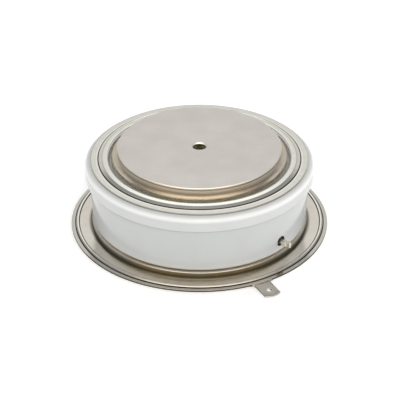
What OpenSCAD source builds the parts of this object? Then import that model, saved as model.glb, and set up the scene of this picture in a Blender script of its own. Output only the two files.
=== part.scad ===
// Disc thyristor: a flat sealed capsule that is clamped between two heat sinks.
// A silicon disc lies between two copper pole pieces in a glazed ceramic ring. Thin
// stamped sheets join the ring to the pole pieces, and the gate contact sits in the
// middle of the lower pole piece.
// The origin is the centre of the lower (cathode) contact face, and +Z points to the
// upper (anode) contact face. Lengths are in millimetres.

/* [Pole pieces] */
// Height over the two contact faces
capsule_height = 27; // [25:0.1:34]
// Diameter of each contact face
pole_face_diameter = 47; // [40:0.5:60]
// Chamfer round each contact face
pole_edge_chamfer = 0.15; // [0.1:0.05:0.8]
// Height of the narrow neck behind each contact face
pole_neck_height = 2.6; // [2:0.05:2.7]
// Step from the neck out to the body of the pole piece
pole_shoulder_width = 1; // [0.6:0.1:2]
// Diameter of the locating hole in each contact face
locating_hole_diameter = 3.6; // [2.5:0.1:5]
// Depth of the straight wall of the locating hole
locating_hole_depth = 2; // [1.2:0.1:2.6]
// Chamfer at the mouth of the locating hole
locating_hole_chamfer = 0.4; // [0.2:0.05:0.8]
// Point angle of the drill that made the locating hole
drill_point_angle = 118; // [90:1:140]
// Height of the braze ring where it climbs the neck
braze_height = 0.4; // [0.25:0.05:0.7]

/* [Stamped sheets] */
// Thickness of the diaphragm and of both flanges
sheet_thickness = 0.5; // [0.3:0.05:0.6]
// Clear width of the groove next to the pole piece
groove_width = 1; // [0.9:0.1:1.4]
// Depth of the groove below the crest
groove_depth = 1.8; // [1.7:0.1:2.2]
// Width of the crest beside the groove
crest_width = 1.9; // [1.6:0.1:3]
// Height of the crest over the flat part
crest_rise = 0.65; // [0.4:0.05:0.75]
// Fall of the crest towards its outer edge
crest_fall = 0.2; // [0:0.05:0.3]
// Width of the slope from the crest to the flat part
slope_width = 1.4; // [1:0.1:2]
// Width of the diaphragm's flat rim on the ceramic
diaphragm_rim_width = 1.9; // [1:0.1:2]
// Depth of that flat rim below the anode contact face
diaphragm_depth = 3.35; // [2.6:0.05:3.8]

/* [Weld flange] */
// Height of the lid's flat part over the cathode contact face
flange_height = 2.05; // [1.9:0.05:2.5]
// Height of the housing flange, from the weld plane to the ceramic
housing_wall_height = 2.15; // [1.9:0.05:4]
// Width of the flat part from the wall to the weld bead
flange_flat_width = 3.7; // [3:0.1:6]
// Width of the bead that the weld pushes up
bead_width = 1; // [0.6:0.1:1.4]
// Height of that bead over the flat part
bead_rise = 0.25; // [0.05:0.05:0.3]
// Width of the pressed lip outside the bead
lip_width = 1.3; // [0.8:0.1:2]
// Thickness that the weld leaves of each sheet in the lip
lip_thickness = 0.27; // [0.2:0.01:0.28]

/* [Auxiliary cathode tab] */
// Direction of the tab, in degrees from the front towards the right
tab_angle = 27.5; // [0:0.5:36]
// Width of the tab's blade
tab_width = 4.8; // [2.8:0.1:6.3]
// Reach of the tab beyond the weld lip
tab_length = 6.7; // [5:0.1:9]
// Radius in the corners at the tab's root
tab_root_radius = 1.2; // [0.5:0.1:1.6]
// Height of the arc that rounds the tab's tip
tab_tip_bulge = 0.7; // [0.3:0.1:1.5]
// Diameter of the hole in the tab
tab_hole_diameter = 1.4; // [1:0.1:1.8]
// Distance of that hole from the tab's tip
tab_hole_inset = 3; // [2:0.1:3.4]

/* [Ceramic ring] */
// Radius of the shoulder at the top of the rim
rim_shoulder_radius = 1.7; // [1:0.1:2]
// Height of the rim's whole side, with its rounded shoulder
rim_height = 4.5; // [3.6:0.1:7]
// Step from the rim in to the body
rim_step = 1.3; // [0.9:0.1:2]
// Amount that the body's radius tapers towards the bottom
body_taper = 0.6; // [0:0.1:1]
// Radius of the ceramic's bottom edge
foot_radius = 1.3; // [0.4:0.1:1.6]
// Gap between the diaphragm's groove and the ceramic's bore
bore_gap = 0.5; // [0.2:0.1:1]

/* [Gate terminal] */
// Direction of the gate tube, in degrees from the front towards the right
gate_angle = 47; // [40:0.5:90]
// Height of the gate tube over the ceramic's bottom edge
gate_height = 3.8; // [2.9:0.1:5]
// Outer diameter of the gate tube
gate_tube_diameter = 1.5; // [1.3:0.05:1.8]
// Reach of the gate tube beyond the ceramic
gate_reach = 3.6; // [3:0.1:6]
// Length of the pinched end
pinch_length = 1.6; // [1.4:0.1:2.6]
// Width of the pinched end, up and down
pinch_width = 1.8; // [1.7:0.1:2.8]
// Thickness of the pinched end
pinch_thickness = 0.8; // [0.4:0.05:0.85]
// Diameter of the recess round the gate tube
recess_diameter = 3.1; // [2.9:0.1:4.4]
// Depth of that recess
recess_depth = 1.2; // [0.8:0.1:2]
// Wall of the eyelet round the gate tube
eyelet_wall = 0.3; // [0.25:0.05:0.5]

/* [Silicon stack] */
// Thickness of the molybdenum disc on the anode side
anode_disc_thickness = 2.4; // [1.5:0.1:3]
// Thickness of the silicon wafer
wafer_thickness = 0.6; // [0.4:0.05:1]
// Width of the bevel round the wafer
wafer_bevel = 0.8; // [0.4:0.1:1.2]
// Thickness of the molybdenum disc on the cathode side
cathode_disc_thickness = 1; // [0.8:0.1:2]
// Diameter of the gate window in that disc
gate_window_diameter = 4; // [3:0.1:6]
// Thickness of the rubber under the wafer's rim
rubber_thickness = 0.4; // [0.2:0.05:0.6]
// Wall of the locating ring beside the discs
locating_ring_wall = 1.4; // [1:0.1:2]

/* [Gate contact] */
// Outer diameter of the insulating cup
cup_diameter = 6.8; // [6.4:0.1:9]
// Wall and floor of the cup
cup_wall = 0.8; // [0.5:0.1:0.9]
// Length of the coil spring as fitted
spring_length = 2.6; // [2.3:0.1:2.9]
// Wire diameter of the spring
spring_wire = 0.5; // [0.3:0.05:0.55]
// Turns of the spring
spring_turns = 3; // [2:0.5:3]
// Diameter of the plunger's shank
shank_diameter = 2; // [1.2:0.1:2.4]
// Height of the plunger's head
head_height = 1.2; // [1:0.1:1.6]
// Free height over the plunger's head
plunger_travel = 1; // [0.5:0.1:1.5]
// Thickness of the guide bush
guide_thickness = 1.2; // [0.8:0.1:2]
// Diameter of the gate lead's wire
lead_diameter = 0.8; // [0.5:0.05:0.9]
// Outer diameter of the sleeve on the lead
sleeve_diameter = 2; // [1.6:0.1:2.4]

/* [Clearances] */
// Radial clearance of the locating ring, inside and outside
ring_clearance = 0.1; // [0.05:0.05:0.3]
// Radial clearance of the cup in its pocket
cup_clearance = 0.1; // [0.05:0.05:0.2]
// Clearance of the sleeve in the slot and the notch
slot_clearance = 0.3; // [0.15:0.05:0.5]
// Radial clearance of the shank in its guide and of the wire in its tubes
wire_clearance = 0.05; // [0.03:0.01:0.1]

/* [Hidden] */
$fn = 96;
arc_steps = 8;
t = sheet_thickness;

// Radii, from the pole pieces outwards
face_radius = pole_face_diameter / 2;
body_radius = face_radius + pole_shoulder_width;
groove_inner_radius = body_radius + t;
groove_outer_radius = groove_inner_radius + groove_width;
crest_outer_radius = groove_outer_radius + crest_width;
flat_inner_radius = crest_outer_radius + slope_width;
diaphragm_radius = flat_inner_radius + diaphragm_rim_width;
groove_roundness = 0.42;
groove_bend = t / 2 + groove_width * groove_roundness;
crest_bend = 1.1 * t;
slope_bend = t;
braze_edge = 0.12;
braze_fillet = 0.4;
rim_margin = 0.1;
rim_radius = diaphragm_radius + rim_margin + rim_shoulder_radius;
ceramic_bore_radius = groove_outer_radius + t + bore_gap;
ceramic_top_radius = rim_radius - rim_step;
ceramic_foot_radius = ceramic_top_radius - body_taper;
rim_edge_radius = 0.5;
rim_root_radius = 0.4;
wall_margin = 0.4;
wall_radius = ceramic_foot_radius + wall_margin;
land_margin = 0.4;
land_inner_radius = ceramic_bore_radius + land_margin;
wall_bend = t;
wall_foot_bend = 0.55 * t;
bead_start_radius = wall_radius + flange_flat_width;
lip_start_radius = bead_start_radius + bead_width;
lip_radius = lip_start_radius + lip_width;
lip_edge = 0.08;
fine_groove = 0.1;
tab_drop = 0.05;
tab_root_share = 0.98;

// Radii of the silicon stack, from the ceramic's bore inwards
ring_outer_radius = ceramic_bore_radius - 2 * ring_clearance;
ring_inner_radius = ring_outer_radius - locating_ring_wall;
anode_disc_radius = ring_inner_radius - ring_clearance;
wafer_margin = 0.2;
wafer_radius = anode_disc_radius - wafer_margin;
rubber_lap = 0.7;
rubber_inner_radius = wafer_radius - wafer_bevel - rubber_lap;
rubber_margin = 0.3;
rubber_round_share = 0.9;
ring_seat_width = 0.6;
contact_land_radius = body_radius - ring_seat_width;
cathode_disc_radius = min(rubber_inner_radius - rubber_margin, contact_land_radius);

// Heights, from the cathode contact face upwards
weld_plane = flange_height + t;
ceramic_bottom = weld_plane + housing_wall_height;
ceramic_top = capsule_height - diaphragm_depth - t;
rim_bottom = ceramic_top - rim_height;
gate_level = ceramic_bottom + gate_height;
head_bottom = gate_level - head_height / 2;
spring_bottom = head_bottom - spring_length;
pocket_floor = spring_bottom - cup_wall;
guide_bottom = gate_level + head_height / 2 + plunger_travel;
cup_top = guide_bottom + guide_thickness;
cup_recess = 0.2;
cathode_contact_level = cup_top + cup_recess;
ring_seat_level = gate_level + sleeve_diameter / 2 + slot_clearance;
wafer_bottom = cathode_contact_level + cathode_disc_thickness;
wafer_top = wafer_bottom + wafer_thickness;
anode_contact_level = wafer_top + anode_disc_thickness;
ring_overlap = 0.5;
ring_top = anode_contact_level + ring_overlap;
contact_chamfer = 0.5;

// Gate parts, measured along the gate direction
cup_inner_radius = cup_diameter / 2 - cup_wall;
pocket_radius = cup_diameter / 2 + cup_clearance;
slot_width = sleeve_diameter + 2 * slot_clearance;
notch_width = sleeve_diameter + slot_clearance;
wire_play = 0.2;
spring_play = 0.3;
spring_radius = cup_inner_radius - spring_play - spring_wire / 2;
spring_sides = 10;
spring_steps = 22;
head_play = 0.2;
head_radius = cup_inner_radius - head_play;
lead_hold = 1.4;
lead_start = head_radius - lead_hold;
sleeve_start = cup_inner_radius + wire_play;
tube_inset = 0.6;
tube_start = ceramic_bore_radius - tube_inset;
sleeve_end = tube_start - wire_play;
recess_floor = ceramic_foot_radius - recess_depth;
eyelet_diameter = gate_tube_diameter + 2 * eyelet_wall;
eyelet_play = 0.2;
eyelet_flange_diameter = recess_diameter - 2 * eyelet_play;
eyelet_flange_thickness = 0.4;
eyelet_inset = 0.4;
eyelet_start = ceramic_bore_radius + eyelet_inset;
tube_tip = ceramic_foot_radius + gate_reach;
pinch_start = tube_tip - pinch_length;
pinch_neck = 0.5;
pinch_corner = 0.3;
pinch_sink = 0.1;
pinch_root_share = 0.3;
pinch_cone_share = 0.9;
tube_bore = lead_diameter + 2 * wire_clearance;
tube_end_wall = 0.3;
tube_bore_end = pinch_start - tube_end_wall;
lead_end = tube_bore_end - wire_play;

// Unit vector, and the same turned left by a quarter
function unit(v) = v / norm(v);
function left_of(v) = [-v.y, v.x];
function turned_by(v, a) = [v.x * cos(a) - v.y * sin(a), v.x * sin(a) + v.y * cos(a)];
function flat(c) = [c[0], c[1]];

// Points of one corner [x, y, radius] of an outline, sharp where the radius is 0
function corner(before, c, after) =
    c[2] == 0 ? [flat(c)] :
    let (
        u = unit(flat(before) - flat(c)),
        v = unit(flat(after) - flat(c)),
        half = acos(u * v) / 2,
        centre = flat(c) + unit(u + v) * c[2] / sin(half),
        spoke = flat(c) + u * c[2] / tan(half) - centre,
        sweep = (180 - 2 * half) * -sign(cross(u, v))
    )
    [for (k = [0 : arc_steps]) centre + turned_by(spoke, sweep * k / arc_steps)];

// Outline with its corners rounded
function rounded(c) =
    let (n = len(c))
    [for (i = [0 : n - 1]) each corner(c[(i + n - 1) % n], c[i], c[(i + 1) % n])];

// Sideways step at point i of a path that keeps its segments parallel
function side_step(p, i) =
    let (
        n = len(p),
        a = left_of(unit(p[max(i, 1)] - p[max(i, 1) - 1])),
        b = left_of(unit(p[min(i, n - 2) + 1] - p[min(i, n - 2)]))
    )
    (a + b) / (1 + a * b);

// Edge of a bent sheet that follows a path of corners [x, y, bend radius], on the left
// (side 1) or right (side -1) of the path
function sheet_edge(path, side) =
    let (p = rounded(path))
    [for (i = [0 : len(p) - 1]) p[i] + side * side_step(p, i) * t / 2];

function backwards(list) = [for (i = [len(list) - 1 : -1 : 0]) list[i]];

// Section of a bent sheet, closed by what is formed at the end of its path
function sheet(path, end = []) =
    concat(sheet_edge(path, 1), end, backwards(sheet_edge(path, -1)));

// Edge of the weld rim on one side of the weld plane, from the flat part outwards:
// bead, fine groove and pressed lip
function weld_rim(side) =
    let (
        middle = bead_start_radius + bead_width / 2,
        bead = [
            for (k = [1 : arc_steps])
                let (a = 180 - 180 * k / arc_steps)
                [middle + cos(a) * bead_width / 2, t + sin(a) * bead_rise]
        ],
        lip = [
            [lip_start_radius, lip_thickness - fine_groove],
            [lip_start_radius + fine_groove, lip_thickness],
            [lip_radius - lip_edge, lip_thickness],
            [lip_radius, lip_thickness - lip_edge],
            [lip_radius, 0]
        ]
    )
    [for (p = concat(bead, lip)) [p.x, weld_plane + side * p.y]];

// Path of a stamped sheet from its collar on a pole piece over groove and crest to
// its flat part. Depths count from the contact face into the capsule.
function bellows(face, into, flat_depth, flat_end) =
    let (
        collar = body_radius + t / 2,
        rise = groove_outer_radius + t / 2,
        groove = face + into * (flat_depth - crest_rise + groove_depth + t / 2),
        crest = face + into * (flat_depth - crest_rise + t / 2),
        level = face + into * (flat_depth + t / 2)
    )
    [
        [collar, face + into * pole_neck_height, 0],
        [collar, groove, groove_bend],
        [rise, groove, groove_bend],
        [rise, crest, crest_bend],
        [crest_outer_radius, crest + into * crest_fall, slope_bend],
        [flat_inner_radius, level, slope_bend],
        [flat_end, level, 0]
    ];

// Outline of a pole piece from its axis over locating hole, contact face and neck to
// the edge of its body
function pole_outline(face, into) =
    let (
        hole = locating_hole_diameter / 2,
        point = hole / tan(drill_point_angle / 2)
    )
    [
        [0, face + into * (locating_hole_depth + point)],
        [hole, face + into * locating_hole_depth],
        [hole, face + into * locating_hole_chamfer],
        [hole + locating_hole_chamfer, face],
        [face_radius - pole_edge_chamfer, face],
        [face_radius, face + into * pole_edge_chamfer],
        [face_radius, face + into * pole_neck_height],
        [body_radius, face + into * pole_neck_height]
    ];

// Solid of revolution about Z
module turned(outline) {
    rotate_extrude() polygon(outline);
}

// Puts children that run along +Z onto a level line from the axis outwards
module outwards(angle, level) {
    rotate([0, 0, angle - 90])
        translate([0, 0, level])
            rotate([0, 90, 0])
                children();
}

// Round bar from one distance to another along +Z
module bar(from, to, diameter) {
    translate([0, 0, from]) cylinder(h = to - from, d = diameter);
}

// Round tube from one distance to another along +Z
module pipe(from, to, outer, inner) {
    difference() {
        bar(from, to, outer);
        bar(from - 1, to + 1, inner);
    }
}

// Braze ring in the corner of a neck and the end of the sheet's collar
module braze_ring(face, into) {
    seat = face + into * pole_neck_height;
    color("goldenrod")
        turned([
            [face_radius, seat],
            [groove_inner_radius, seat],
            [groove_inner_radius, seat - into * braze_edge],
            [face_radius + braze_fillet, seat - into * braze_height / 2],
            [face_radius, seat - into * braze_height]
        ]);
}

module anode_pole() {
    color("silver")
        turned(concat(
            pole_outline(capsule_height, -1),
            [
                [body_radius, anode_contact_level + contact_chamfer],
                [body_radius - contact_chamfer, anode_contact_level],
                [0, anode_contact_level]
            ]
        ));
}

module anode_braze() {
    braze_ring(capsule_height, -1);
}

module anode_diaphragm() {
    color("gainsboro")
        turned(sheet(bellows(capsule_height, -1, diaphragm_depth, diaphragm_radius)));
}

module ceramic_housing() {
    outline = rounded([
        [ceramic_bore_radius, ceramic_bottom, 0],
        [ceramic_foot_radius, ceramic_bottom, foot_radius],
        [ceramic_top_radius, rim_bottom, rim_root_radius],
        [rim_radius, rim_bottom, rim_edge_radius],
        [rim_radius, ceramic_top, rim_shoulder_radius],
        [ceramic_bore_radius, ceramic_top, 0]
    ]);
    color("whitesmoke")
        difference() {
            turned(outline);
            outwards(gate_angle, gate_level) {
                bar(ceramic_bore_radius - 1, recess_floor + 1, eyelet_diameter);
                bar(recess_floor, rim_radius, recess_diameter);
            }
        }
}

module housing_weld_flange() {
    path = [
        [land_inner_radius, ceramic_bottom - t / 2, 0],
        [wall_radius - t / 2, ceramic_bottom - t / 2, wall_bend],
        [wall_radius - t / 2, weld_plane + t / 2, wall_foot_bend],
        [bead_start_radius, weld_plane + t / 2, 0]
    ];
    color("rosybrown")
        turned(sheet(path, weld_rim(1)));
}

// Points [x, y, 0] of the arc round the tab's tip, from one edge of the blade to the other
function tip_arc(tip, half) =
    let (
        radius = (pow(half, 2) + pow(tab_tip_bulge, 2)) / (2 * tab_tip_bulge),
        reach = asin(half / radius)
    )
    [
        for (k = [-arc_steps : arc_steps])
            let (a = reach * k / arc_steps)
            [tip - radius + radius * cos(a), radius * sin(a), 0]
    ];

// Outline of the tab in plan, with X running outwards
module tab_outline() {
    tip = lip_radius + tab_length;
    half = tab_width / 2;
    wide = half + tab_root_radius;
    shore = sqrt(pow(lip_radius, 2) - pow(wide, 2)) - lip_edge;
    root_bend = tab_root_radius * tab_root_share;
    difference() {
        polygon(rounded([
            [lip_start_radius + lip_width / 2, -wide, 0],
            [shore, -wide, 0],
            [shore, -half, root_bend],
            each tip_arc(tip, half),
            [shore, half, root_bend],
            [shore, wide, 0],
            [lip_start_radius + lip_width / 2, wide, 0]
        ]));
        translate([tip - tab_hole_inset, 0]) circle(d = tab_hole_diameter);
    }
}

module lid_weld_flange() {
    path = bellows(0, 1, flange_height, bead_start_radius);
    color("darkgray")
        union() {
            turned(sheet(path, backwards(weld_rim(-1))));
            rotate([0, 0, tab_angle - 90])
                translate([0, 0, weld_plane - tab_drop - t])
                    linear_extrude(t)
                        tab_outline();
        }
}

module cathode_braze() {
    braze_ring(0, 1);
}

module cathode_pole() {
    color("silver")
        difference() {
            turned(concat(
                pole_outline(0, 1),
                [
                    [body_radius, ring_seat_level],
                    [contact_land_radius, ring_seat_level],
                    [contact_land_radius, cathode_contact_level],
                    [0, cathode_contact_level]
                ]
            ));
            bar(pocket_floor, cathode_contact_level + 1, 2 * pocket_radius);
            rotate([0, 0, gate_angle - 90])
                translate([0, -slot_width / 2, gate_level - slot_width / 2])
                    cube([body_radius + 1, slot_width, cathode_contact_level]);
        }
}

module anode_molybdenum_disc() {
    color("slategray")
        bar(wafer_top, anode_contact_level, 2 * anode_disc_radius);
}

module silicon_wafer() {
    color("darkslategray")
        turned([
            [0, wafer_bottom],
            [wafer_radius - wafer_bevel, wafer_bottom],
            [wafer_radius, wafer_top],
            [0, wafer_top]
        ]);
}

module cathode_molybdenum_disc() {
    color("slategray")
        pipe(cathode_contact_level, wafer_bottom, 2 * cathode_disc_radius, gate_window_diameter);
}

module wafer_edge_rubber() {
    bottom = wafer_bottom - rubber_thickness;
    round = rubber_thickness * rubber_round_share;
    color("firebrick")
        turned(rounded([
            [rubber_inner_radius, wafer_bottom, 0],
            [rubber_inner_radius, bottom, round],
            [anode_disc_radius, bottom, round],
            [anode_disc_radius, wafer_top, 0],
            [wafer_radius, wafer_top, 0],
            [wafer_radius - wafer_bevel, wafer_bottom, 0]
        ]));
}

module locating_ring() {
    collar_radius = contact_land_radius + ring_clearance;
    color("ivory")
        turned([
            [collar_radius, ring_seat_level],
            [ring_outer_radius, ring_seat_level],
            [ring_outer_radius, ring_top],
            [ring_inner_radius, ring_top],
            [ring_inner_radius, cathode_contact_level],
            [collar_radius, cathode_contact_level]
        ]);
}

module gate_insulator_cup() {
    color("white")
        difference() {
            bar(pocket_floor, cup_top, cup_diameter);
            bar(spring_bottom, cup_top + 1, 2 * cup_inner_radius);
            rotate([0, 0, gate_angle - 90])
                translate([0, -notch_width / 2, gate_level - notch_width / 2])
                    cube([cup_diameter, notch_width, cathode_contact_level]);
        }
}

// Coil of round wire, each ring of points turned and lifted along the helix
module gate_spring() {
    rings = ceil(spring_turns * spring_steps);
    lift = spring_length - spring_wire;
    low = spring_bottom + spring_wire / 2;
    points = [
        for (i = [0 : rings], j = [0 : spring_sides - 1])
            let (
                turn = 360 * spring_turns * i / rings,
                around = 360 * j / spring_sides,
                r = spring_radius + cos(around) * spring_wire / 2
            )
            [r * cos(turn), r * sin(turn), low + lift * i / rings + sin(around) * spring_wire / 2]
    ];
    sides = [
        for (i = [0 : rings - 1], j = [0 : spring_sides - 1])
            let (
                next = (j + 1) % spring_sides,
                a = i * spring_sides + j,
                b = i * spring_sides + next,
                c = a + spring_sides,
                d = b + spring_sides
            )
            each [[a, b, d], [a, d, c]]
    ];
    ends = [
        [for (j = [spring_sides - 1 : -1 : 0]) j],
        [for (j = [0 : spring_sides - 1]) rings * spring_sides + j]
    ];
    color("lightsteelblue")
        polyhedron(points, concat(sides, ends));
}

module gate_plunger() {
    color("gold")
        difference() {
            union() {
                bar(head_bottom, head_bottom + head_height, 2 * head_radius);
                bar(head_bottom, wafer_bottom, shank_diameter);
            }
            outwards(gate_angle, gate_level)
                bar(lead_start, cup_diameter, lead_diameter);
        }
}

module gate_guide() {
    color("linen")
        pipe(guide_bottom, cup_top, 2 * cup_inner_radius, shank_diameter + 2 * wire_clearance);
}

module gate_lead() {
    color("lightgray")
        outwards(gate_angle, gate_level)
            bar(lead_start, lead_end, lead_diameter);
}

module gate_lead_sleeve() {
    color("aliceblue")
        outwards(gate_angle, gate_level)
            pipe(sleeve_start, sleeve_end, sleeve_diameter, tube_bore);
}

// Flat of the pinched end, seen from the side, with X running outwards. Its narrow
// root starts inside the tube.
module pinch_outline() {
    root = pinch_root_share * gate_tube_diameter;
    half = pinch_width / 2;
    polygon(rounded([
        [pinch_start + pinch_sink, -root, 0],
        [pinch_start + pinch_neck, -half, pinch_corner],
        [tube_tip, -half, pinch_corner],
        [tube_tip, half, pinch_corner],
        [pinch_start + pinch_neck, half, pinch_corner],
        [pinch_start + pinch_sink, root, 0]
    ]));
}

module gate_tube() {
    color("lightgray")
        difference() {
            union() {
                outwards(gate_angle, gate_level) {
                    bar(tube_start, pinch_start, gate_tube_diameter);
                    translate([0, 0, pinch_start])
                        cylinder(h = pinch_neck, d1 = gate_tube_diameter, d2 = pinch_cone_share * pinch_thickness);
                }
                rotate([0, 0, gate_angle - 90])
                    translate([0, pinch_thickness / 2, gate_level])
                        rotate([90, 0, 0])
                            linear_extrude(pinch_thickness)
                                pinch_outline();
            }
            outwards(gate_angle, gate_level)
                bar(tube_start - 1, tube_bore_end, tube_bore);
        }
}

module gate_eyelet() {
    flange_end = recess_floor + eyelet_flange_thickness;
    color("silver")
        outwards(gate_angle, gate_level)
            difference() {
                union() {
                    bar(eyelet_start, flange_end, eyelet_diameter);
                    bar(recess_floor, flange_end, eyelet_flange_diameter);
                }
                bar(eyelet_start - 1, flange_end + 1, gate_tube_diameter);
            }
}

anode_pole();
anode_braze();
anode_diaphragm();
ceramic_housing();
housing_weld_flange();
lid_weld_flange();
cathode_braze();
cathode_pole();
anode_molybdenum_disc();
silicon_wafer();
cathode_molybdenum_disc();
wafer_edge_rubber();
locating_ring();
gate_insulator_cup();
gate_spring();
gate_plunger();
gate_guide();
gate_lead();
gate_lead_sleeve();
gate_tube();
gate_eyelet();
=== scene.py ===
"""Looks of a disc thyristor: a flat ceramic capsule with a plated pole face on each side, laid out as an
add-on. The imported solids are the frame, and the pieces here take their places and sizes from it."""

import math

import bmesh
import bpy
from bpy.props import FloatProperty, FloatVectorProperty, IntProperty, PointerProperty
from mathutils import Matrix, Vector


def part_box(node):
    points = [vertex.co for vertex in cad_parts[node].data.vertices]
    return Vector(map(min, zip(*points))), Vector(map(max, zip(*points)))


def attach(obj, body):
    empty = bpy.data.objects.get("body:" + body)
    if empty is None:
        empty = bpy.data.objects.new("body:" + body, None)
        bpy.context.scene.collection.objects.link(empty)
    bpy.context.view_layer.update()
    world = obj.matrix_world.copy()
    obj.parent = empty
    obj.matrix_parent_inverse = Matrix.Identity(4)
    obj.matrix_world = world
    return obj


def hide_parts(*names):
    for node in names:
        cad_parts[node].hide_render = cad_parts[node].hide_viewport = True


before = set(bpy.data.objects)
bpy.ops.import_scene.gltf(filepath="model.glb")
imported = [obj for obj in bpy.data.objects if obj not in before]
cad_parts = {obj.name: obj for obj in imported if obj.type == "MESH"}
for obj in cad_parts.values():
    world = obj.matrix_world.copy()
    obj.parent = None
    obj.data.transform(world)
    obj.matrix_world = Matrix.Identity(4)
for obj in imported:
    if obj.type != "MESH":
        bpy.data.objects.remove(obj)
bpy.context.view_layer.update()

bl_info = {
    "name": "Disc Thyristor",
    "version": (1, 0, 0),
    "blender": (4, 5, 0),
    "location": "3D View > Sidebar > Thyristor",
    "description": "Builds the visible pieces of a ceramic disc thyristor around its packed solids",
    "category": "Object",
}

MM = 0.001
BODY = "root"
ARC_STEPS = 10
DRILL_POINT = math.radians(118)
WHITE = (1.0, 1.0, 1.0, 1.0)

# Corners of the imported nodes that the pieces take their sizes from
POLE_LOW, POLE_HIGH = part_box("anode_pole")
BRAZE_LOW, BRAZE_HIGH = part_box("anode_braze")
SHEET_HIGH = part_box("anode_diaphragm")[1]
CERAMIC_LOW, CERAMIC_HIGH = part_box("ceramic_housing")
FLANGE_LOW, FLANGE_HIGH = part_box("housing_weld_flange")
TUBE_LOW, TUBE_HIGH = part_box("gate_tube")
EYELET_LOW, EYELET_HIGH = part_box("gate_eyelet")
LEAD_LOW, LEAD_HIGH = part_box("gate_lead")
SPRING_LOW, SPRING_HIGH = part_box("gate_spring")


def linear(hex_colour):
    """An sRGB hex colour as linear RGBA."""
    channels = [int(hex_colour[i:i + 2], 16) / 255 for i in (1, 3, 5)]
    return [c / 12.92 if c <= 0.04045 else ((c + 0.055) / 1.055) ** 2.4 for c in channels] + [1.0]


def length(name, millimetres, description):
    """A length property with its default in millimetres."""
    return FloatProperty(name=name, description=description, default=millimetres * MM,
                         min=0.0, unit="LENGTH", precision=5)


def colour(name, hex_colour, description):
    """A colour property with an sRGB hex default."""
    return FloatVectorProperty(name=name, description=description, subtype="COLOR", size=4,
                               min=0.0, max=1.0, default=linear(hex_colour))


def angle(name, degrees, description):
    """An angle property with its default in degrees."""
    return FloatProperty(name=name, description=description, default=math.radians(degrees),
                         subtype="ANGLE")


class ThyristorSizes(bpy.types.PropertyGroup):
    """Sizes of the visible pieces that the frame's boxes don't give"""
    face_diameter: length("Pole Face", 47, "Diameter of each contact face")
    edge_chamfer: length("Face Chamfer", 0.15, "Chamfer round each contact face")
    hole_diameter: length("Locating Hole", 3.6, "Diameter of the hole in each contact face")
    hole_depth: length("Hole Depth", 2, "Straight depth of the locating hole")
    hole_chamfer: length("Hole Chamfer", 0.4, "Chamfer at the mouth of the locating hole")
    contact_chamfer: length("Contact Chamfer", 0.5, "Chamfer of the pole piece's inner edge")
    groove_width: length("Groove Width", 1, "Clear width of the groove next to the pole piece")
    groove_depth: length("Groove Depth", 1.8, "Depth of the groove below the crest")
    crest_width: length("Crest Width", 1.9, "Width of the crest beside the groove")
    crest_rise: length("Crest Rise", 0.65, "Height of the crest over the flat part")
    crest_fall: length("Crest Fall", 0.2, "Fall of the crest towards its outer edge")
    slope_width: length("Slope Width", 1.4, "Width of the slope from crest to flat part")
    bead_width: length("Bead Width", 1, "Width of the bead beside the weld")
    bead_rise: length("Bead Rise", 0.25, "Height of the bead over the flange")
    lip_width: length("Lip Width", 1.3, "Width of the pressed lip outside the bead")
    lip_thickness: length("Lip Thickness", 0.27, "Thickness that the weld leaves of each sheet")
    rim_shoulder: length("Rim Shoulder", 1.7, "Radius at the top of the ceramic rim")
    rim_height: length("Rim Height", 4.5, "Height of the ceramic rim")
    rim_step: length("Rim Step", 1.3, "Step from the rim in to the ceramic body")
    body_taper: length("Body Taper", 0.6, "Amount that the ceramic body tapers towards its foot")
    foot_radius: length("Foot Radius", 1.3, "Radius of the ceramic's bottom edge")
    ceramic_bore: length("Ceramic Bore", 54, "Inner diameter of the ceramic ring")
    wall_diameter: length("Flange Wall", 63, "Outer diameter of the flange's wall under the ceramic")
    land_diameter: length("Flange Land", 54.8, "Inner diameter of the flange's land under the ceramic")
    tab_angle: angle("Tab Direction", 27.5, "Direction of the tab from the front towards the right")
    tab_width: length("Tab Width", 4.8, "Width of the tab's blade")
    tab_length: length("Tab Length", 6.7, "Reach of the tab beyond the weld lip")
    tab_root: length("Tab Root", 1.2, "Radius in the corners at the tab's root")
    tab_bulge: length("Tab Bulge", 0.7, "Height of the arc that rounds the tab's tip")
    tab_hole: length("Tab Hole", 1.4, "Diameter of the hole in the tab")
    tab_hole_inset: length("Hole Inset", 3, "Distance of the tab's hole from its tip")
    gate_angle: angle("Gate Direction", 47, "Direction of the gate tube from the front towards the right")
    gate_reach: length("Gate Reach", 3.6, "Reach of the gate tube beyond the ceramic")
    tube_diameter: length("Gate Tube", 1.5, "Outer diameter of the gate tube")
    tube_bore: length("Gate Bore", 0.9, "Bore of the gate tube")
    pinch_length: length("Pinch Length", 1.6, "Length of the tube's pinched end")
    pinch_thickness: length("Pinch Thickness", 0.8, "Thickness of the tube's pinched end")
    recess_diameter: length("Recess", 3.1, "Diameter of the recess round the gate tube")
    recess_depth: length("Recess Depth", 1.2, "Depth of the recess in the ceramic")
    eyelet_diameter: length("Eyelet Neck", 2.1, "Outer diameter of the eyelet's neck")
    eyelet_flange: length("Eyelet Flange", 0.4, "Thickness of the eyelet's flange")
    spring_wire: length("Spring Wire", 0.5, "Wire diameter of the gate spring")
    spring_turns: FloatProperty(name="Spring Turns", description="Turns of the gate spring", default=3.0)
    steps_round: IntProperty(name="Steps Round", description="Faces round each turned piece", default=288)


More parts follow.
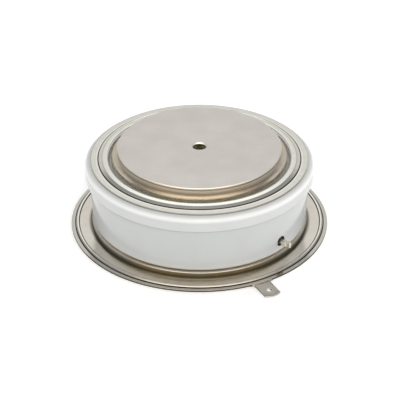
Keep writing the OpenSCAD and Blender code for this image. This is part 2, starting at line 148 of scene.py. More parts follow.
class ThyristorFinish(bpy.types.PropertyGroup):
    """Colours of the finishes"""
    nickel: colour("Lapped Nickel", "#DCD6D2", "Satin nickel of the contact faces")
    # The neck's furnace tint, from which the pole finish paints bands of shade and reflection
    neck: colour("Neck", "#EAE6DF", "Furnace colour on the side of the pole pieces")
    # Painted shade darkens this colour inside the locating holes
    hole: colour("Hole", "#D2D0B4", "Dull metal inside the locating holes")
    braze: colour("Braze", "#DED2C0", "Silver and copper braze")
    sheet: colour("Bright Sheet", "#F4F2EB", "Bright nickel of the stamped diaphragm")
    flange: colour("Flange", "#DDD7CF", "Nickel of the weld flange")
    # Painted shade and reflection on the flange's wall under the ceramic and at its foot
    wall_shade: colour("Stain", "#716D5F", "Furnace stain on the flange's wall under the ceramic")
    tab: colour("Tab", "#E4E0D9", "Nickel of the tab")
    # Painted shade in the folds, beside the bead and round the lip's edge
    fold_shade: colour("Fold", "#3E392E", "Dull metal left in the folds and beside the weld")
    glaze: colour("Glaze", "#DCDDDA", "White glaze on the alumina's rim")
    # Painted shade: the body under the rim is made greyer than the rim
    glaze_shaded_body: colour("Glaze Body", "#D2D4D2", "Cooler tone of the glaze on the body under the rim")
    # The plated film at the foot, whose tan is also painted reflection of the flange
    glaze_base: colour("Glaze Base", "#E6DECC", "Plated metal film where the ceramic is brazed on")
    # Painted highlight along the rim's shoulder
    glaze_shoulder_highlight: colour("Glaze Shoulder", "#FAFAF8", "Paler glaze on the rim's round shoulder")
    floor: colour("Floor", "#F0F0F0", "Pale studio floor")


class ThyristorSettings(bpy.types.PropertyGroup):
    """All settings of the disc thyristor"""
    sizes: PointerProperty(type=ThyristorSizes)
    finish: PointerProperty(type=ThyristorFinish)


def settings():
    """The scene's settings."""
    return bpy.context.scene.disc_thyristor


# Materials

# Sockets of the mix node that carry colours
MIX_FIRST, MIX_SECOND, MIX_COLOUR = 6, 7, 2


def add(tree, kind, inputs=None, stops=(), **choices):
    """Adds a node with its choices, ramp stops and inputs set or linked, and returns its outputs."""
    node = tree.nodes.new(kind)
    for name, value in choices.items():
        setattr(node, name, value)
    for name, value in (inputs or {}).items():
        if isinstance(value, bpy.types.NodeSocket):
            tree.links.new(value, node.inputs[name])
        else:
            node.inputs[name].default_value = value
    if stops:
        ramp = node.color_ramp.elements
        ramp[0].position, ramp[0].color = stops[0]
        ramp[1].position, ramp[1].color = stops[-1]
        for place, tone in stops[1:-1]:
            ramp.new(place).color = tone
    return node.outputs


def new_material(name):
    """An empty material, its tree, and the point on the object that its textures are read at."""
    material = bpy.data.materials.new(name)
    material.use_nodes = True
    tree = material.node_tree
    tree.nodes.clear()
    return material, tree, add(tree, "ShaderNodeTexCoord")["Object"]


def shade(tint, share):
    """A colour made darker or lighter by a share."""
    return [min(1.0, part * share) for part in list(tint)[:3]] + [1.0]


def from_axis(tree, point):
    """A point's way out from the capsule's axis, and its distance from it."""
    flat = add(tree, "ShaderNodeVectorMath", {0: point, 1: (1.0, 1.0, 0.0)}, operation="MULTIPLY")[0]
    return flat, add(tree, "ShaderNodeVectorMath", {0: flat}, operation="LENGTH")["Value"]


def from_middle(tree, point):
    """A point's distance from the level half-way up, which both faces of the capsule share."""
    height = add(tree, "ShaderNodeSeparateXYZ", {0: point})["Z"]
    offset = add(tree, "ShaderNodeMath", {0: height, 1: POLE_HIGH.z / 2}, operation="SUBTRACT")[0]
    return add(tree, "ShaderNodeMath", {0: offset}, operation="ABSOLUTE")[0]


def lapped_nickel():
    """Finish of the pole pieces."""
    # Nickel plate over lapped copper: an even warm satin with a fine grain, drawn coarse enough to show.
    # The braze furnace tinted the neck, and bands of painted shade and painted reflection run along it,
    # darkest just under the face and towards the braze. The hole is painted darker inside as shade, in
    # rings that lighten and darken down to the drill point
    material, tree, point = new_material("nickel_plate_lapped")
    s, finish = settings().sizes, settings().finish
    middle, edge, mouth = POLE_HIGH.z / 2, s.face_diameter / 2, s.hole_diameter / 2
    distance, reach = from_axis(tree, point)[1], from_middle(tree, point)
    grain = add(tree, "ShaderNodeTexNoise",
                {"Vector": point, "Scale": 1 / (0.6 * MM), "Detail": 2.0})["Fac"]
    cloud = add(tree, "ShaderNodeTexNoise", {"Vector": point, "Scale": 1 / (7 * MM), "Detail": 1.0})["Fac"]
    blotch = add(tree, "ShaderNodeMath", {0: grain, 1: cloud}, operation="MULTIPLY")[0]
    face = add(tree, "ShaderNodeMapRange", {"Value": blotch, "From Min": 0.15, "From Max": 0.4})[0]
    face = add(tree, "ShaderNodeMix", {"Factor": face, MIX_FIRST: shade(finish.nickel, 0.95),
                                       MIX_SECOND: shade(finish.nickel, 1.04)},
               data_type="RGBA")[MIX_COLOUR]
    side = add(tree, "ShaderNodeMapRange", {"Value": distance, "From Min": edge - 0.12 * MM,
                                            "From Max": edge - 0.04 * MM})[0]
    depth = add(tree, "ShaderNodeMapRange", {"Value": reach, "From Min": middle - s.edge_chamfer,
                                             "From Max": BRAZE_HIGH.z - middle})[0]
    # Bands of painted shade and painted reflection down the neck
    neck_shade_bands = ((0.0, 0.9), (0.12, 0.7), (0.24, 0.2), (0.4, 0.76), (0.7, 0.58), (1.0, 0.38))
    neck = add(tree, "ShaderNodeValToRGB", {"Fac": depth},
               stops=[(place, shade(finish.neck, share)) for place, share in neck_shade_bands])["Color"]
    inside = add(tree, "ShaderNodeMapRange", {"Value": distance, "From Min": mouth + 0.1 * MM,
                                              "From Max": mouth + 0.02 * MM})[0]
    drilled = add(tree, "ShaderNodeMapRange", {"Value": reach, "From Min": middle - s.hole_chamfer,
                                               "From Max": middle - s.hole_depth})[0]
    # Painted shade inside the locating hole
    hole_shade_rings = ((0.0, 0.2), (0.2, 0.25), (0.32, 1.0), (0.5, 0.45), (0.65, 1.1), (0.85, 0.5), (1.0, 0.4))
    hole = add(tree, "ShaderNodeValToRGB", {"Fac": drilled},
               stops=[(place, shade(finish.hole, share)) for place, share in hole_shade_rings])["Color"]
    base = face
    for share, tint in ((side, neck), (inside, hole)):
        base = add(tree, "ShaderNodeMix", {"Factor": share, MIX_FIRST: base, MIX_SECOND: tint},
                   data_type="RGBA")[MIX_COLOUR]
    rough = add(tree, "ShaderNodeMapRange", {"Value": grain, "From Min": 0.3, "From Max": 0.7,
                                             "To Min": 0.29, "To Max": 0.35})[0]
    bump = add(tree, "ShaderNodeBump", {"Height": grain, "Strength": 0.12, "Distance": 0.01 * MM})[0]
    surface = add(tree, "ShaderNodeBsdfPrincipled", {"Base Color": base, "Roughness": rough, "Normal": bump,
                                                     "Metallic": 1.0})
    add(tree, "ShaderNodeOutputMaterial", {"Surface": surface[0]})
    return material


def flowed_braze():
    """Finish of the braze rings."""
    # Silver and copper braze, run molten into the corner: pale gold, smooth and a little wavy, and painted
    # darker towards its outer edge as shade from the groove beside it
    material, tree, point = new_material("silver_copper_braze_flowed")
    finish = settings().finish
    wave = add(tree, "ShaderNodeTexNoise", {"Vector": point, "Scale": 1 / (1.6 * MM), "Detail": 2.0})["Fac"]
    base = add(tree, "ShaderNodeMix", {"Factor": wave, MIX_FIRST: shade(finish.braze, 0.82),
                                       MIX_SECOND: shade(finish.braze, 1.12)}, data_type="RGBA")[MIX_COLOUR]
    distance = from_axis(tree, point)[1]
    # Painted shade towards the groove at the ring's outer edge
    edge = add(tree, "ShaderNodeMapRange", {"Value": distance, "From Min": BRAZE_HIGH.x - 0.7 * MM,
                                            "From Max": BRAZE_HIGH.x - 0.2 * MM})[0]
    base = add(tree, "ShaderNodeMix", {"Factor": edge, MIX_FIRST: base,
                                       MIX_SECOND: shade(finish.braze, 0.85)}, data_type="RGBA")[MIX_COLOUR]
    bump = add(tree, "ShaderNodeBump", {"Height": wave, "Strength": 0.5, "Distance": 0.04 * MM})[0]
    surface = add(tree, "ShaderNodeBsdfPrincipled", {"Base Color": base, "Roughness": 0.18, "Normal": bump,
                                                     "Metallic": 1.0})
    add(tree, "ShaderNodeOutputMaterial", {"Surface": surface[0]})
    return material


def stamped_sheet(name, rings, folds, clear=0.5):
    """Finish of a stamped sheet from (radius, colour) rings, and from folds of (reach, share of painted
    shade, roughness, metal).
    """
    # Bright nickel on drawn sheet: fine rings from the press tool, duller in the folds and painted darker
    # there as shade. The colour rings carry painted shade and painted highlights too. Where the tab
    # leaves the weld lip, the rings stop short of the lip's edge by a clear share of its width
    material, tree, point = new_material(name)
    s = settings().sizes
    flat, distance = from_axis(tree, point)
    way = add(tree, "ShaderNodeVectorMath", {0: flat}, operation="NORMALIZE")[0]
    tab_way = (math.sin(s.tab_angle), -math.cos(s.tab_angle), 0.0)
    near = add(tree, "ShaderNodeVectorMath", {0: way, 1: tab_way}, operation="DOT_PRODUCT")["Value"]
    root = math.atan((s.tab_width / 2 + s.tab_root) / FLANGE_HIGH.x)
    no_limit = 2 * FLANGE_HIGH.x
    limit = add(tree, "ShaderNodeMapRange",
                {"Value": near, "From Min": math.cos(root), "From Max": math.cos(0.85 * root),
                 "To Min": no_limit, "To Max": FLANGE_HIGH.x - clear * s.lip_width})[0]
    ring = add(tree, "ShaderNodeMath", {0: distance, 1: limit}, operation="MINIMUM")[0]
    first, last = rings[0][0], rings[-1][0]
    along = add(tree, "ShaderNodeMapRange", {"Value": ring, "From Min": first, "From Max": last})[0]
    base = add(tree, "ShaderNodeValToRGB", {"Fac": along},
               stops=[((radius - first) / (last - first), tint) for radius, tint in rings])["Color"]
    reach = from_middle(tree, point)
    low, high = folds
    # Painted shade in the folds, with their roughness and metal share
    fold_shade, dull, metal = [
        add(tree, "ShaderNodeMapRange", {"Value": reach, "From Min": low[0], "From Max": high[0],
                                         "To Min": low[k], "To Max": high[k]})[0] for k in (1, 2, 3)]
    cloud = add(tree, "ShaderNodeTexNoise", {"Vector": point, "Scale": 1 / (3 * MM), "Detail": 3.0})["Fac"]
    cloud = add(tree, "ShaderNodeMapRange", {"Value": cloud, "To Min": 0.9, "To Max": 1.08})[0]
    level = add(tree, "ShaderNodeMath", {0: fold_shade, 1: cloud}, operation="MULTIPLY")[0]
    base = add(tree, "ShaderNodeVectorMath", {0: base, "Scale": level}, operation="SCALE")[0]
    tool = add(tree, "ShaderNodeTexNoise", {"W": distance, "Scale": 1 / (0.3 * MM), "Detail": 2.0},
               noise_dimensions="1D")["Fac"]
    streak = add(tree, "ShaderNodeMapRange", {"Value": tool, "From Min": 0.3, "From Max": 0.7,
                                              "To Min": 0.8, "To Max": 1.2})[0]
    rough = add(tree, "ShaderNodeMath", {0: dull, 1: streak}, operation="MULTIPLY")[0]
    bump = add(tree, "ShaderNodeBump", {"Height": tool, "Strength": 0.15, "Distance": 0.01 * MM})[0]
    surface = add(tree, "ShaderNodeBsdfPrincipled", {"Base Color": base, "Roughness": rough, "Normal": bump,
                                                     "Metallic": metal})
    add(tree, "ShaderNodeOutputMaterial", {"Surface": surface[0]})
    return material


def glazed_alumina():
    """Finish of the ceramic ring."""
    # Glaze fired on alumina: cool white, glossy, with a faint ripple. Painted shade makes it a little
    # greyer below the rim and a painted highlight makes it palest over the shoulder. It is tan at the
    # foot where the metal film for the braze begins, and that tan is also painted reflection of the flange
    material, tree, point = new_material("alumina_glazed")
    s, finish = settings().sizes, settings().finish
    height = add(tree, "ShaderNodeSeparateXYZ", {0: point})["Z"]
    step = CERAMIC_HIGH.z - s.rim_height
    # Painted shade below the rim, the tan film at the foot and a painted highlight over the shoulder
    above = add(tree, "ShaderNodeMapRange",
                {"Value": height, "From Min": step, "From Max": step + 0.4 * MM})[0]
    film = add(tree, "ShaderNodeMapRange", {"Value": height, "From Min": CERAMIC_LOW.z + 1.4 * MM,
                                            "From Max": CERAMIC_LOW.z + 0.5 * MM})[0]
    crown = CERAMIC_HIGH.z - s.rim_shoulder / 2
    away = add(tree, "ShaderNodeMath", {0: height, 1: crown}, operation="SUBTRACT")[0]
    away = add(tree, "ShaderNodeMath", {0: away}, operation="ABSOLUTE")[0]
    shoulder_highlight_mask = add(tree, "ShaderNodeMapRange",
               {"Value": away, "From Min": 0.55 * s.rim_shoulder, "From Max": 0.0},
               interpolation_type="SMOOTHSTEP")[0]
    base = finish.glaze_shaded_body
    for share, tint in ((above, finish.glaze), (film, finish.glaze_base), (shoulder_highlight_mask, finish.glaze_shoulder_highlight)):
        base = add(tree, "ShaderNodeMix", {"Factor": share, MIX_FIRST: base, MIX_SECOND: tint},
                   data_type="RGBA")[MIX_COLOUR]
    cloud = add(tree, "ShaderNodeTexNoise", {"Vector": point, "Scale": 1 / (6 * MM), "Detail": 2.0})["Fac"]
    cloud = add(tree, "ShaderNodeMapRange", {"Value": cloud, "To Min": 0.97, "To Max": 1.03})[0]
    base = add(tree, "ShaderNodeVectorMath", {0: base, "Scale": cloud}, operation="SCALE")[0]
    ripple = add(tree, "ShaderNodeTexNoise",
                 {"Vector": point, "Scale": 1 / (1.5 * MM), "Detail": 1.0})["Fac"]
    bump = add(tree, "ShaderNodeBump", {"Height": ripple, "Strength": 0.12, "Distance": 0.01 * MM})[0]
    surface = add(tree, "ShaderNodeBsdfPrincipled", {"Base Color": base, "Roughness": 0.12, "Normal": bump,
                                                     "IOR": 1.52})
    add(tree, "ShaderNodeOutputMaterial", {"Surface": surface[0]})
    return material


def grained(name, hex_colour, metallic, roughness, grain_mm):
    """Plain finish with a fine grain, for small and sealed pieces."""
    # The grain breaks an even tone up a little, as a ground, cast or drawn surface does
    material, tree, point = new_material(name)
    grain = add(tree, "ShaderNodeTexNoise",
                {"Vector": point, "Scale": 1 / (grain_mm * MM), "Detail": 2.0})["Fac"]
    tint = linear(hex_colour)
    base = add(tree, "ShaderNodeMix", {"Factor": grain, MIX_FIRST: shade(tint, 0.9),
                                       MIX_SECOND: shade(tint, 1.08)}, data_type="RGBA")[MIX_COLOUR]
    surface = add(tree, "ShaderNodeBsdfPrincipled", {"Base Color": base, "Roughness": roughness,
                                                     "Metallic": metallic})
    add(tree, "ShaderNodeOutputMaterial", {"Surface": surface[0]})
    return material


# Outlines: lists of (radius, height) points, or of corners (radius, height, rounding)

def corner(before, here, after):
    """Points of one corner of an outline, sharp where its rounding is 0."""
    place = Vector(here[:2])
    if here[2] == 0:
        return [place]
    back = (Vector(before[:2]) - place).normalized()
    onward = (Vector(after[:2]) - place).normalized()
    half = math.acos(max(-1.0, min(1.0, back.dot(onward)))) / 2
    centre = place + (back + onward).normalized() * here[2] / math.sin(half)
    spoke = place + back * here[2] / math.tan(half) - centre
    sweep = math.copysign(math.pi - 2 * half, onward.x * back.y - onward.y * back.x)
    return [centre + Matrix.Rotation(sweep * k / ARC_STEPS, 2) @ spoke for k in range(ARC_STEPS + 1)]


def rounded(corners):
    """Outline with its corners rounded."""
    count = len(corners)
    return [point for i in range(count)
            for point in corner(corners[i - 1], corners[i], corners[(i + 1) % count])]


def sheet_edge(path, thickness, side):
    """Edge of a bent sheet along a path of corners, on its left (1) or right (-1)."""
    points = rounded(path)
    last = len(points) - 1
    edge = []
    for i, point in enumerate(points):
        into = (points[max(i, 1)] - points[max(i, 1) - 1]).normalized().orthogonal()
        out = (points[min(i, last - 1) + 1] - points[min(i, last - 1)]).normalized().orthogonal()
        edge.append(point + (into + out) / (1 + into.dot(out)) * side * thickness / 2)
    return edge


def sheet(path, thickness, end=()):
    """Closed section of a bent sheet, with what is formed at the end of its path."""
    return sheet_edge(path, thickness, 1) + list(end) + sheet_edge(path, thickness, -1)[::-1]


def sheet_thickness():
    """Thickness of the stamped sheets, from the collar round the pole piece."""
    return BRAZE_HIGH.x - POLE_HIGH.x


def bellows(face, into, flat_depth, flat_end):
    """Path of a stamped sheet from its collar over groove and crest to its flat part."""
    s, t = settings().sizes, sheet_thickness()
    collar = POLE_HIGH.x + t / 2
    rise = BRAZE_HIGH.x + s.groove_width + t / 2
    crest_end = BRAZE_HIGH.x + s.groove_width + s.crest_width
    neck = POLE_HIGH.z - BRAZE_LOW.z
    groove = face + into * (flat_depth - s.crest_rise + s.groove_depth + t / 2)
    crest = face + into * (flat_depth - s.crest_rise + t / 2)
    level = face + into * (flat_depth + t / 2)
    groove_bend, crest_bend = t / 2 + 0.42 * s.groove_width, 1.1 * t
    return [(collar, face + into * neck, 0), (collar, groove, groove_bend), (rise, groove, groove_bend),
            (rise, crest, crest_bend), (crest_end, crest + into * s.crest_fall, t),
            (crest_end + s.slope_width, level, t), (flat_end, level, 0)]


def weld_rim(side):
    """Edge of the weld rim on one side of the weld plane: bead, fine groove and pressed lip."""
    s, t = settings().sizes, sheet_thickness()
    lip_end = FLANGE_HIGH.x
    lip_start = lip_end - s.lip_width
    middle = lip_start - s.bead_width / 2
    groove, edge = 0.1 * MM, 0.08 * MM
    sweep, flank_foot = math.radians(127), middle + 0.47 * s.bead_width
    turns = [math.pi - sweep * k / ARC_STEPS for k in range(1, ARC_STEPS + 1)]
    points = [(middle + math.cos(a) * s.bead_width / 2, t + math.sin(a) * s.bead_rise) for a in turns]
    points += [(flank_foot, t), (lip_start, s.lip_thickness - groove),
               (lip_start + groove, s.lip_thickness), (lip_end - edge, s.lip_thickness),
               (lip_end, s.lip_thickness - edge), (lip_end, 0)]
    return [Vector((r, FLANGE_LOW.z + side * h)) for r, h in points]


def bead_start():
    """Radius where the flange's flat part ends."""
    s = settings().sizes
    return FLANGE_HIGH.x - s.lip_width - s.bead_width


def ceramic_foot():
    """Radius of the ceramic body at its foot."""
    s = settings().sizes
    return CERAMIC_HIGH.x - s.rim_step - s.body_taper


# Meshes

def piece_tree(name, inputs):
    """Node tree with named inputs and a piece as its output, and what its inputs give."""
    tree = bpy.data.node_groups.new(name, "GeometryNodeTree")
    for label, kind in inputs:
        tree.interface.new_socket(label, in_out="INPUT", socket_type="NodeSocket" + kind)
    tree.interface.new_socket("Piece", in_out="OUTPUT", socket_type="NodeSocketGeometry")
    return tree, add(tree, "NodeGroupInput")


def close_tree(tree, shape, finish):
    """Ends a node tree with its shape smooth, real and in its finish."""
    smooth = add(tree, "GeometryNodeSetShadeSmooth", {"Geometry": shape})[0]
    real = add(tree, "GeometryNodeRealizeInstances", {"Geometry": smooth})[0]
    dressed = add(tree, "GeometryNodeSetMaterial", {"Geometry": real, "Material": finish})[0]
    add(tree, "NodeGroupOutput", {"Piece": dressed})
    return tree


def turning_tree():
    """Node tree that turns an outline of vertices, x its radius and z its height, about Z."""
    tree, source = piece_tree("turned_outline", (("Outline", "Geometry"), ("Steps Round", "Int"),
                                                 ("Finish", "Material")))
    count = add(tree, "GeometryNodeAttributeDomainSize", {0: source["Outline"]})["Point Count"]
    columns = add(tree, "ShaderNodeMath", {0: source["Steps Round"], 1: 1.0}, operation="ADD")[0]
    grid = add(tree, "GeometryNodeMeshGrid", {"Vertices X": columns, "Vertices Y": count})["Mesh"]
    index = add(tree, "GeometryNodeInputIndex")[0]
    row = add(tree, "ShaderNodeMath", {0: index, 1: count}, operation="MODULO")[0]
    share = add(tree, "ShaderNodeMath", {0: index, 1: count}, operation="DIVIDE")[0]
    column = add(tree, "ShaderNodeMath", {0: share}, operation="FLOOR")[0]
    part = add(tree, "ShaderNodeMath", {0: column, 1: source["Steps Round"]}, operation="DIVIDE")[0]
    turn = add(tree, "ShaderNodeMath", {0: part, 1: 2 * math.pi}, operation="MULTIPLY")[0]
    place = add(tree, "GeometryNodeInputPosition")[0]
    point = add(tree, "GeometryNodeSampleIndex",
                {"Geometry": source["Outline"], "Value": place, "Index": row}, data_type="FLOAT_VECTOR")
    turned = add(tree, "ShaderNodeVectorRotate",
                 {"Vector": point[0], "Axis": (0.0, 0.0, 1.0), "Angle": turn},
                 rotation_type="AXIS_ANGLE")[0]
    moved = add(tree, "GeometryNodeSetPosition", {"Geometry": grid, "Position": turned})[0]
    merged = add(tree, "GeometryNodeMergeByDistance", {"Geometry": moved, "Distance": 0.001 * MM})[0]
    return close_tree(tree, merged, source["Finish"])


def winding_tree():
    """Node tree that winds a round wire into a coil spring standing on a level."""
    tree, source = piece_tree("wound_wire", (
        ("Start", "Geometry"), ("Turns", "Float"), ("Radius", "Float"), ("Height", "Float"),
        ("Level", "Float"), ("Wire", "Float"), ("Finish", "Material")))
    coil = add(tree, "GeometryNodeCurveSpiral",
               {"Resolution": 48, "Rotations": source["Turns"], "Start Radius": source["Radius"],
                "End Radius": source["Radius"], "Height": source["Height"]})[0]
    wire_radius = add(tree, "ShaderNodeMath", {0: source["Wire"], 1: 0.5}, operation="MULTIPLY")[0]
    section = add(tree, "GeometryNodeCurvePrimitiveCircle",
                  {"Resolution": 16, "Radius": wire_radius})[0]
    wound = add(tree, "GeometryNodeCurveToMesh",
                {"Curve": coil, "Profile Curve": section, "Fill Caps": True})[0]
    lift = add(tree, "ShaderNodeCombineXYZ", {"Z": source["Level"]})[0]
    stood = add(tree, "GeometryNodeTransform", {"Geometry": wound, "Translation": lift})[0]
    return close_tree(tree, stood, source["Finish"])


def new_object(name, mesh):
    """An object in the scene's collection."""
    thing = bpy.data.objects.new(name, mesh)
    bpy.context.scene.collection.objects.link(thing)
    return thing


def shell_object(name, shell, material):
    """An object from a finished bmesh."""
    mesh = bpy.data.meshes.new(name)
    shell.to_mesh(mesh)
    shell.free()
    mesh.materials.append(material)
    return new_object(name, mesh)


def made_mesh(thing):
    """The mesh that an object's curve or modifiers make."""
    graph = bpy.context.evaluated_depsgraph_get()
    return bpy.data.meshes.new_from_object(thing.evaluated_get(graph), depsgraph=graph)


def settle(thing, sharp_degrees=35):
    """Turns what the modifiers make into a plain mesh, smooth but for its sharp edges."""
    mesh = made_mesh(thing)
    thing.modifiers.clear()
    thing.data = mesh
    shell = bmesh.new()
    shell.from_mesh(mesh)
    bmesh.ops.recalc_face_normals(shell, faces=shell.faces)
    shell.to_mesh(mesh)
    shell.free()
    mesh.polygons.foreach_set("use_smooth", [True] * len(mesh.polygons))
    mesh.set_sharp_from_angle(angle=math.radians(sharp_degrees))
    return thing


def node_modifier(thing, tree, values):
    """Gives an object a node tree with its inputs set by their identifiers."""
    modifier = thing.modifiers.new(tree.name, "NODES")
    modifier.node_group = tree
    for item in tree.interface.items_tree:
        if item.in_out == "INPUT" and item.name in values:
            modifier[item.identifier] = values[item.name]


def turned_piece(name, outline, material, closed=True, sharp_degrees=35):
    """A piece of revolution from an outline of (radius, height) points."""
    points = list(outline) + ([outline[0]] if closed else [])
    mesh = bpy.data.meshes.new(name)
    mesh.from_pydata([(p[0], 0.0, p[1]) for p in points], [], [])
    thing = new_object(name, mesh)
    tree = bpy.data.node_groups.get("turned_outline") or turning_tree()
    node_modifier(thing, tree, {"Steps Round": settings().sizes.steps_round, "Finish": material})
    return settle(thing, sharp_degrees)


def combine(thing, other, operation):
    """Cuts another object out of a piece, or joins it on, and removes the other."""
    boolean = thing.modifiers.new(operation.lower(), "BOOLEAN")
    boolean.operation = operation
    boolean.solver = "EXACT"
    boolean.material_mode = "TRANSFER"
    boolean.object = other
    settle(thing)
    bpy.data.objects.remove(other)
    return thing


def bar(name, start, stop, radius, turn, level, material, sides=64):
    """Round bar along a level line from the axis outwards."""
    shell = bmesh.new()
    bmesh.ops.create_cone(shell, cap_ends=True, segments=sides, radius1=radius, radius2=radius,
                          depth=stop - start)
    shell.transform(Matrix.Rotation(math.pi / 2, 4, "Y"))
    shell.transform(outwards(turn, level) @ Matrix.Translation(((start + stop) / 2, 0, 0)))
    return shell_object(name, shell, material)


def outwards(turn, level):
    """Place of a level line from the axis outwards: its x runs along it, its z stays up."""
    return Matrix.Translation((0, 0, level)) @ Matrix.Rotation(turn - math.pi / 2, 4, "Z")


def dress(thing, node):
    """Hangs a finished piece on the body's empty and hides the solid that it stands for."""
    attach(thing, BODY)
    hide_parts(node)
    return thing


def gate_level():
    """Height of the gate line."""
    return (LEAD_LOW.z + LEAD_HIGH.z) / 2


class THYRISTOR_OT_poles(bpy.types.Operator):
    """Turn the upper pole piece and finish the lower one"""
    bl_idname = "thyristor.poles"
    bl_label = "Pole Pieces"

    def execute(self, context):
        s = settings().sizes
        top, hole, face = POLE_HIGH.z, s.hole_diameter / 2, s.face_diameter / 2
        point = hole / math.tan(DRILL_POINT / 2)
        neck = BRAZE_LOW.z
        soft = 0.06 * MM
        outline = [
            (0, top - s.hole_depth - point, 0), (hole, top - s.hole_depth, 0),
            (hole, top - s.hole_chamfer, soft), (hole + s.hole_chamfer, top, soft),
            (face - s.edge_chamfer, top, soft), (face, top - s.edge_chamfer, soft), (face, neck, 0),
            (POLE_HIGH.x, neck, 0), (POLE_HIGH.x, POLE_LOW.z + s.contact_chamfer, 0),
            (POLE_HIGH.x - s.contact_chamfer, POLE_LOW.z, 0), (0, POLE_LOW.z, 0)]
        material = lapped_nickel()
        pole = turned_piece("anode_pole_piece", rounded(outline), material, closed=False)
        dress(pole, "anode_pole")
        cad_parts["cathode_pole"].material_slots[0].material = material
        return {"FINISHED"}


class THYRISTOR_OT_braze(bpy.types.Operator):
    """Run the braze rings into the corners of the pole pieces"""
    bl_idname = "thyristor.braze"
    bl_label = "Braze Rings"

    def execute(self, context):
        s = settings().sizes
        face, collar = s.face_diameter / 2, BRAZE_HIGH.x
        climb = BRAZE_HIGH.z - BRAZE_LOW.z
        edge, fillet = 0.12 * MM, 0.4 * MM
        material = flowed_braze()
        rings = (("anode_braze_ring", "anode_braze", 1), ("cathode_braze_ring", "cathode_braze", -1))
        for name, node, sign in rings:
            low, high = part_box(node)
            seat = low.z if sign > 0 else high.z
            outline = [(face, seat), (collar, seat), (collar, seat + sign * edge),
                       (face + fillet, seat + sign * climb / 2), (face, seat + sign * climb)]
            dress(turned_piece(name, outline, material), node)
        return {"FINISHED"}


class THYRISTOR_OT_diaphragm(bpy.types.Operator):
    """Stamp the diaphragm between the upper pole piece and the ceramic"""
    bl_idname = "thyristor.diaphragm"
    bl_label = "Diaphragm"

    def execute(self, context):
        t = sheet_thickness()
        depth = POLE_HIGH.z - CERAMIC_HIGH.z - t
        path = bellows(POLE_HIGH.z, -1, depth, SHEET_HIGH.x)
        material = stamped_sheet("nickel_sheet_stamped", self.rings(), self.folds())
        ring = turned_piece("diaphragm_sheet", sheet(path, t), material)
        dress(ring, "anode_diaphragm")
        return {"FINISHED"}

    def rings(self):
        """Colours of the sheet outwards, with lines of painted shade at the crest's bend, at the foot of
        its slope and round its rim.
        """
        s, finish = settings().sizes, settings().finish
        foot = BRAZE_HIGH.x + s.groove_width + s.crest_width + s.slope_width
        line, rim = 0.1 * MM, SHEET_HIGH.x
        crest, flat, rim_edge_shade = foot - s.slope_width, shade(finish.sheet, 0.86), shade(finish.sheet, 0.5)
        # Painted shade: darker lines at the crest's bend, at the slope's foot and round the rim
        return ((crest - 2 * line, finish.sheet), (crest, shade(finish.sheet, 0.7)),
                (crest + 3 * line, finish.sheet), (foot - 4 * line, finish.sheet),
                (foot - 3.5 * line, finish.fold_shade), (foot - line, finish.fold_shade),
                (foot - 0.5 * line, finish.sheet), (foot + 3 * line, finish.sheet), (foot + 5 * line, flat),
                (rim - 2 * line, flat), (rim - 0.3 * line, rim_edge_shade), (rim + line, rim_edge_shade))

    def folds(self):
        """Heights over the capsule's middle between which the groove's painted shade lifts up to the
        crest.
        """
        crest = SHEET_HIGH.z - POLE_HIGH.z / 2
        return (crest - 1.6 * MM, 0.66, 0.5, 0.3), (crest - 1.1 * MM, 1.0, 0.14, 1.0)


class THYRISTOR_OT_ceramic(bpy.types.Operator):
    """Turn the glazed ceramic ring and sink the recess for the gate tube"""
    bl_idname = "thyristor.ceramic"
    bl_label = "Ceramic Ring"

    def execute(self, context):
        s = settings().sizes
        bottom, top, rim = CERAMIC_LOW.z, CERAMIC_HIGH.z, CERAMIC_HIGH.x
        bore, foot = s.ceramic_bore / 2, ceramic_foot()
        rim_bottom = top - s.rim_height
        step_round, rim_round = 0.4 * MM, 0.5 * MM
        outline = rounded([
            (bore, bottom, 0), (foot, bottom, s.foot_radius), (rim - s.rim_step, rim_bottom, step_round),
            (rim, rim_bottom, rim_round), (rim, top, s.rim_shoulder), (bore, top, 0)])
        ring = turned_piece("ceramic_ring", outline, glazed_alumina())
        floor = foot - s.recess_depth
        # Molybdenum and manganese fired into the recess for brazing: a matt grey, darkened as painted shade
        # in the recess
        fired = grained("molybdenum_manganese_fired_shade", "#57544E", 0.4, 0.5, 0.4)
        recess = bar("recess_cutter", floor, rim, s.recess_diameter / 2, s.gate_angle, gate_level(), fired)
        combine(ring, recess, "DIFFERENCE")
        passage = bar("passage_cutter", bore - MM, floor + MM, s.eyelet_diameter / 2, s.gate_angle,
                      gate_level(), fired)
        combine(ring, passage, "DIFFERENCE")
        dress(ring, "ceramic_housing")
        return {"FINISHED"}


